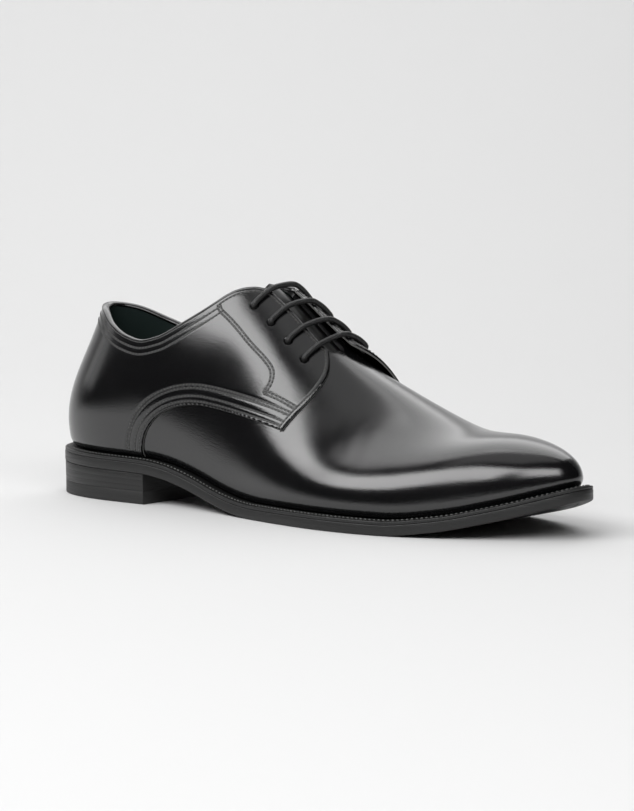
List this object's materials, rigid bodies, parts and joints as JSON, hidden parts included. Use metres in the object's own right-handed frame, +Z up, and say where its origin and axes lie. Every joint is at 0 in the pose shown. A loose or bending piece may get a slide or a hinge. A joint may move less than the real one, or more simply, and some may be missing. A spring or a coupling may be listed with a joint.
{
  "type": "dress shoe",
  "caption": "Black lace-up derby dress shoe for the right foot: plain almond toe, open hollow upper, stitched quarters, straight lace bars, thin welted sole and low stacked heel.",
  "frame": {"origin": "on the floor, under the middle of the shoe's bounding box", "axes": "+X towards the toe, +Y towards the medial side, +Z up"},
  "size_m": [0.3032, 0.1028, 0.1073],
  "materials": {
    "upper_leather": "polished",
    "sole_leather": "satin",
    "top_piece_rubber": "matt",
    "lining_leather": "matt",
    "lace": "waxed"
  },
  "bodies": {
    "root": {"outsole": "sole_leather", "welt": "sole_leather", "heel_block": "sole_leather", "heel_top_piece": "top_piece_rubber", "insole": "lining_leather", "upper": "upper_leather", "quarter_lateral": "upper_leather", "quarter_medial": "upper_leather", "tongue": "upper_leather", "lace_bar_1": "lace", "lace_bar_2": "lace", "lace_bar_3": "lace", "lace_bar_4": "lace"}
  },
  "joints": []
}
